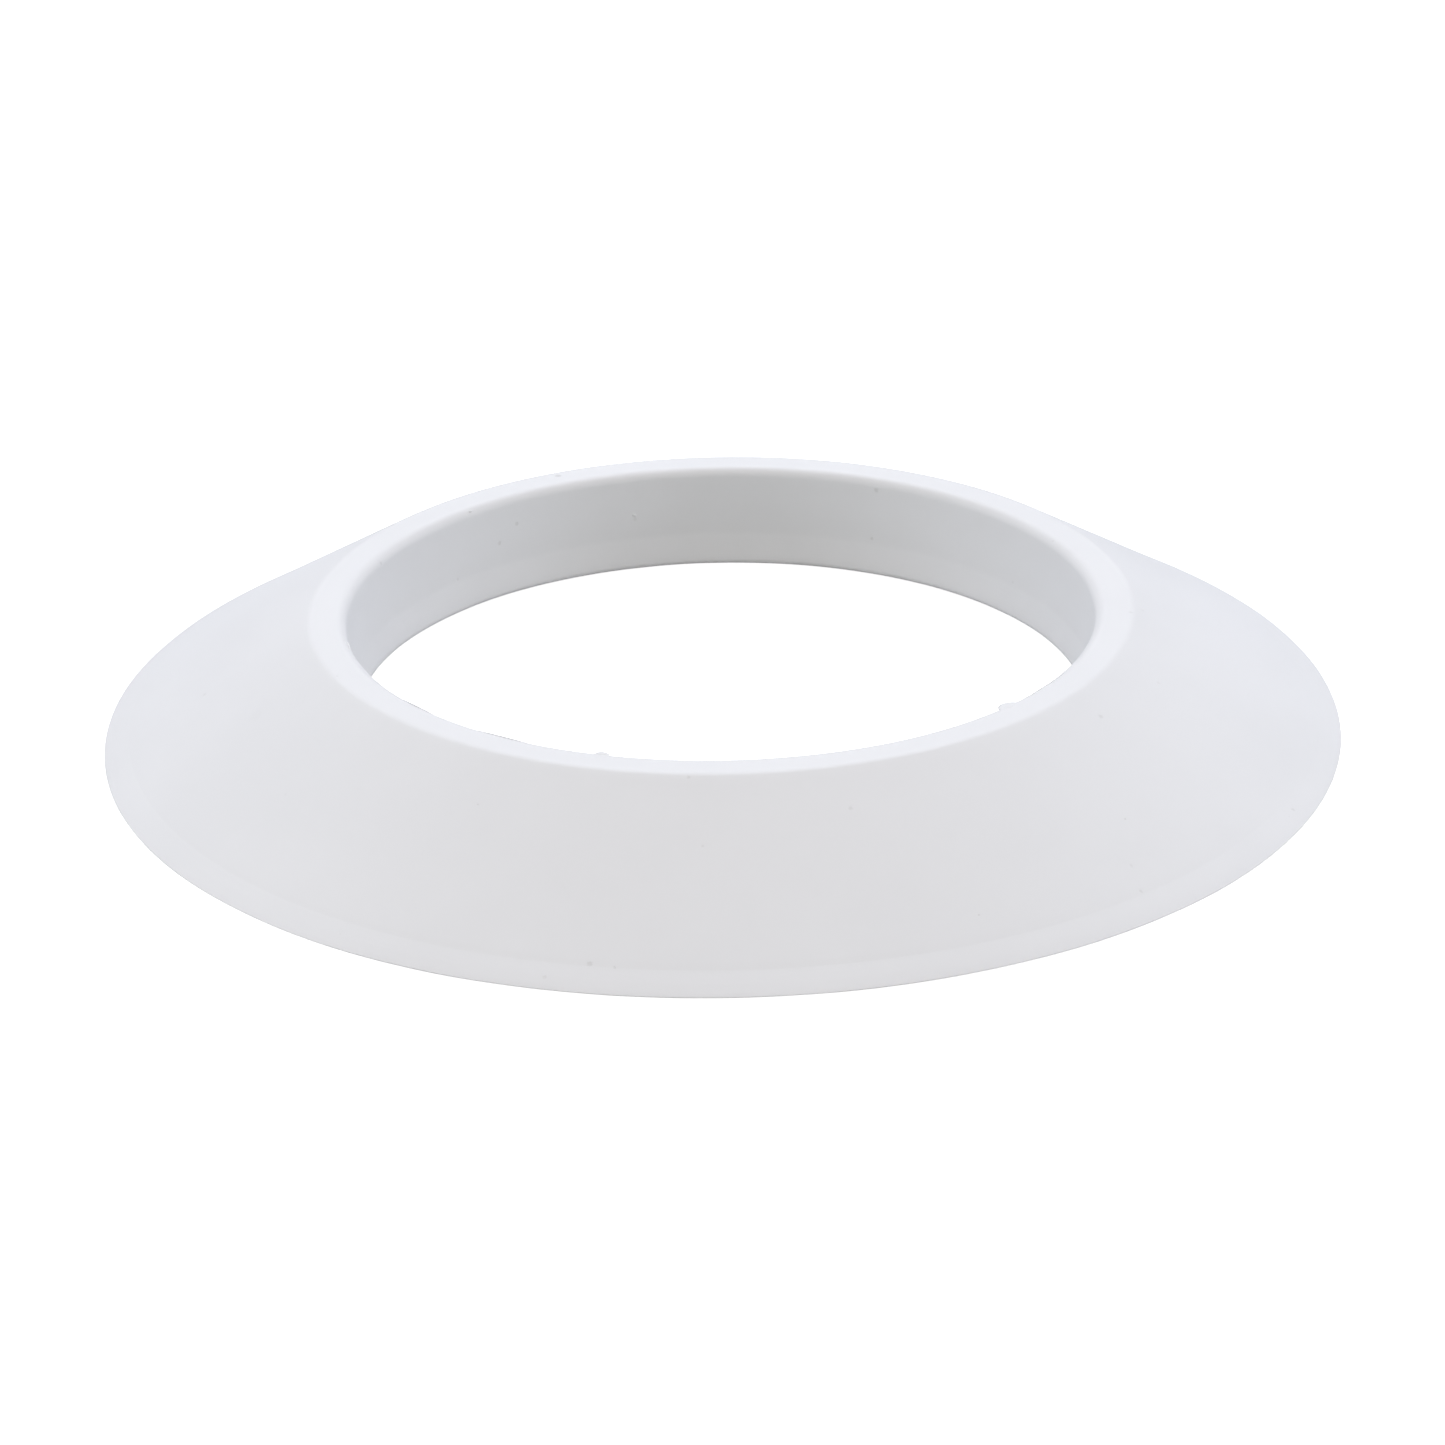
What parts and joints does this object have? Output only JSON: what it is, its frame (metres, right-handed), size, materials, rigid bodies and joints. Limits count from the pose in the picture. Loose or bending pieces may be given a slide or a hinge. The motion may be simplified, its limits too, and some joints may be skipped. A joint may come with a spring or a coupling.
{
  "type": "toilet flange",
  "caption": "Soft one-piece conical collar with a tapered gripping bore and a hollow back, which hides the gap round a toilet's soil pipe at the floor or wall.",
  "frame": {"origin": "centre of the seat's plane, on the pipe's axis", "axes": "+Z along the pipe's axis, from the seat towards the land; the collar is the same all round"},
  "size_m": [0.18, 0.18, 0.018],
  "materials": {
    "soft_white": "matte moulded"
  },
  "bodies": {
    "root": {"flange_collar": "soft_white"}
  },
  "joints": []
}
